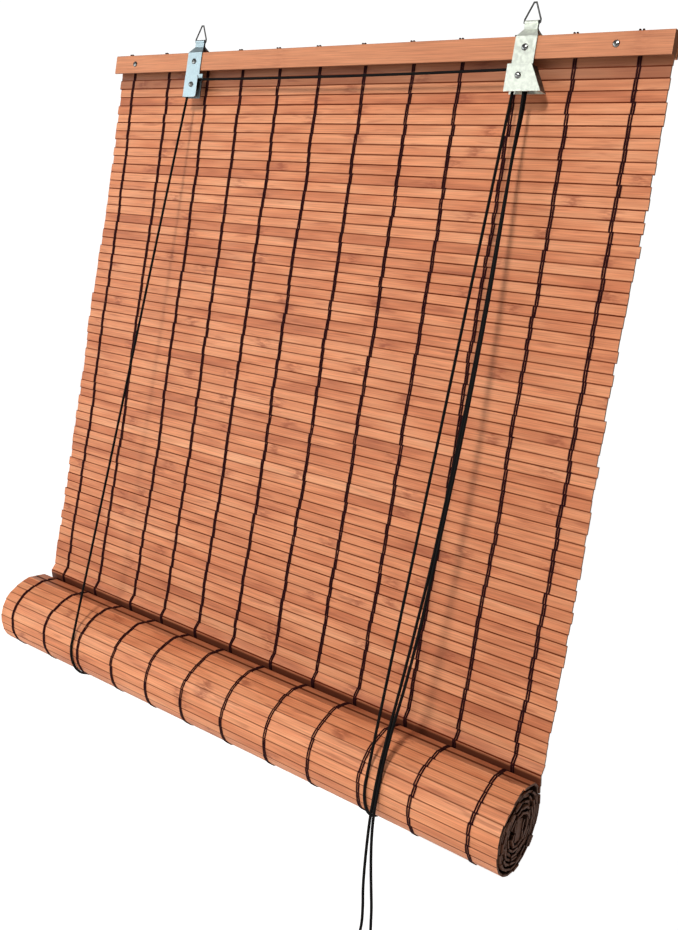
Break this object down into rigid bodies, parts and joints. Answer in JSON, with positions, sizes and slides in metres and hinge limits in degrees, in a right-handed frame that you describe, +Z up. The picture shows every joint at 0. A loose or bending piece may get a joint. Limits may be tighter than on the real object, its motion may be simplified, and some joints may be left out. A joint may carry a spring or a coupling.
{
  "type": "bamboo roll up blind",
  "caption": "Roll-up blind of woven bamboo slats on a wooden headrail, partly rolled up, with wire hanger rings, zinc pulley brackets, a cord lock and black pull cords.",
  "frame": {"origin": "midway between the points where the two hanger rings rest on their hooks", "axes": "+Z up, +Y towards the wall, +X to the right for a person in the room"},
  "size_m": [0.596, 0.0787, 0.8123],
  "materials": {
    "rail_wood": "satin",
    "bamboo": "satin",
    "steel": "satin",
    "zinc_sheet": "satin",
    "pulley_plastic": "matte",
    "warp_thread": "matte",
    "cord": "matte"
  },
  "bodies": {
    "headrail": {"front_batten": "rail_wood", "rear_batten": "rail_wood", "batten_screws": "steel", "bracket_screws": "steel", "left_bracket": "zinc_sheet", "right_bracket": "zinc_sheet", "left_pulley_pin": "steel", "right_pulley_pin": "steel", "upper_slats": "bamboo", "lower_slats": "bamboo", "upper_threads": "warp_thread", "lower_threads": "warp_thread", "crossing_cord": "cord", "right_cord_wrap": "cord", "left_front_cord": "cord", "right_front_cord": "cord", "left_back_cord": "cord", "right_back_cord": "cord", "cord_knots": "cord", "held_pull_cords": "cord"},
    "left_ring": {"left_hanger_ring": "steel"},
    "right_ring": {"right_hanger_ring": "steel"},
    "left_wheel": {"left_pulley": "pulley_plastic"},
    "right_wheel": {"right_pulley": "pulley_plastic"},
    "lock": {"lock_roller": "steel"},
    "slings": {"left_sling": "cord", "right_sling": "cord", "bend_slats": "bamboo", "pull_cord_a": "cord", "pull_cord_b": "cord", "hank_a": "cord", "hank_b": "cord", "hank_tie": "cord", "pull_knots": "cord"},
    "roll": {"rolled_mat": "bamboo", "bottom_batten": "rail_wood"}
  },
  "joints": [
    {"name": "left_ring_swing", "type": "hinge", "parent": "headrail", "child": "left_ring", "pos_m": [-0.181, 0, -0.0146], "axis": [1, 0, 0], "range_deg": [-90, 90]},
    {"name": "right_ring_swing", "type": "hinge", "parent": "headrail", "child": "right_ring", "pos_m": [0.181, 0, -0.0146], "axis": [1, 0, 0], "range_deg": [-90, 90]},
    {"name": "raise", "type": "slide", "parent": "headrail", "child": "slings", "axis": [0, 0, 1], "range_m": [0, 0.475], "deforming": ["lower_slats", "lower_threads", "left_front_cord", "right_front_cord", "left_back_cord", "right_back_cord", "held_pull_cords"]},
    {"name": "roll_turn", "type": "hinge", "parent": "slings", "child": "roll", "pos_m": [0, -0.023, -0.621], "axis": [1, 0, 0], "range_deg": [-720.5, 0.5]},
    {"name": "left_wheel_turn", "type": "hinge", "parent": "headrail", "child": "left_wheel", "pos_m": [-0.1746, -0.008, -0.059], "axis": [0, 1, 0], "continuous": true},
    {"name": "right_wheel_turn", "type": "hinge", "parent": "headrail", "child": "right_wheel", "pos_m": [0.184, -0.0095, -0.059], "axis": [0, 1, 0], "continuous": true},
    {"name": "lock_travel", "type": "slide", "parent": "headrail", "child": "lock", "axis": [-0.464, 0, 0.8858], "range_m": [0, 0.0074]}
  ],
  "couplings": [
    {"joint": "roll_turn", "follows": "raise", "rad_per_m": -26.456}
  ]
}
